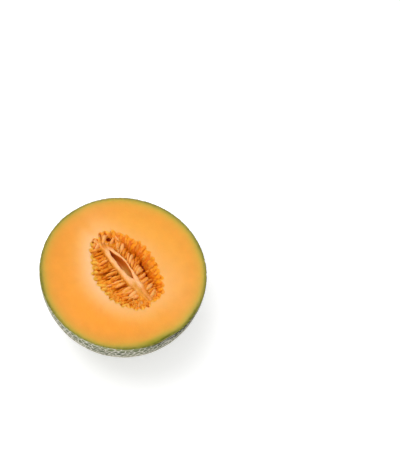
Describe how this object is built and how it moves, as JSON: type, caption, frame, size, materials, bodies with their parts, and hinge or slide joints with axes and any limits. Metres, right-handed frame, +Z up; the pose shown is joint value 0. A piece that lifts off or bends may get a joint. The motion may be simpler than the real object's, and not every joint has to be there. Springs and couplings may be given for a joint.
{
  "type": "melon half",
  "caption": "Half of a fresh netted melon, cut from stalk end to blossom end and lying cut face up, with orange flesh and its seeds in an oval hollow.",
  "frame": {"origin": "under the middle of the half melon, on the surface that its rind rests on", "axes": "+Z up out of the cut face, +Y along the cut towards the stalk end, +X to the side where the seed hollow's wall slopes"},
  "size_m": [0.1496, 0.1514, 0.077],
  "materials": {
    "flesh_and_rind": "moist, lightly glossy fruit flesh inside a dry corky net",
    "seed_mass": "wet, glossy pulp and seeds"
  },
  "bodies": {
    "root": {"flesh_and_rind": "flesh_and_rind", "seed_mass": "seed_mass"}
  },
  "joints": []
}
